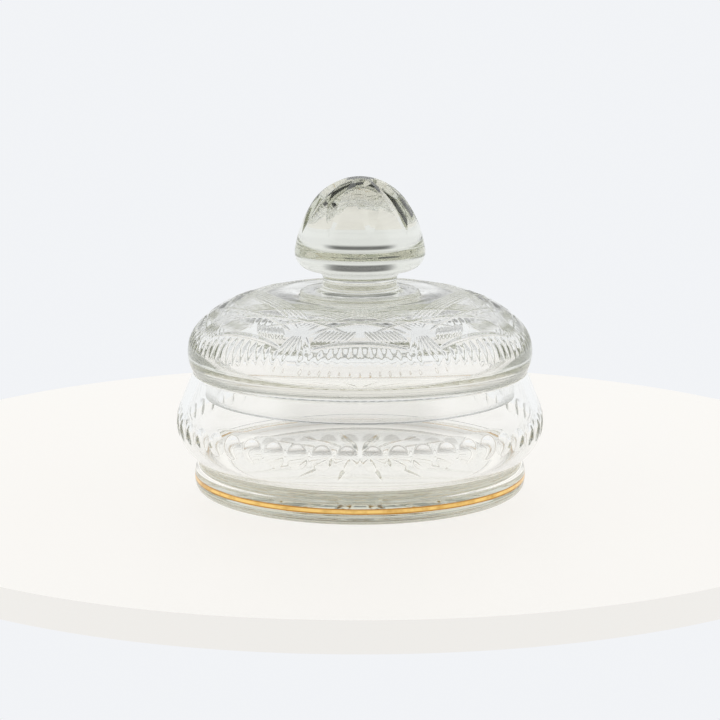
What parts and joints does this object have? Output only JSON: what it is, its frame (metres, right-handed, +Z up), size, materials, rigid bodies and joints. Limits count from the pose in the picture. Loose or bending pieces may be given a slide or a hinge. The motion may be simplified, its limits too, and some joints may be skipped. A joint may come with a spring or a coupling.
{
  "type": "covered candy box",
  "caption": "Round footed cut-crystal candy box with a domed lift-off lid, a mushroom knob, a ground flange and a fired gold line round the foot; holds sweets.",
  "frame": {"origin": "middle of the underside of the foot, on the table", "axes": "+Z up along the axis of the bowl, lid and knob; -Y is the front that faces the viewer, +X is to the viewer's right"},
  "size_m": [0.15, 0.15, 0.1278],
  "materials": {
    "crystal": "polished clear glass with polished wheel cuts; the flange and seat are ground",
    "gilding": "fired and burnished gold, a little worn"
  },
  "bodies": {
    "bowl": {"bowl": "crystal", "gold_line": "gilding"},
    "lid": {"lid": "crystal", "knob": "crystal"}
  },
  "joints": [
    {"name": "lid_lift", "type": "slide", "parent": "bowl", "child": "lid", "axis": [0, 0, 1], "range_m": [0, 0.06]}
  ]
}
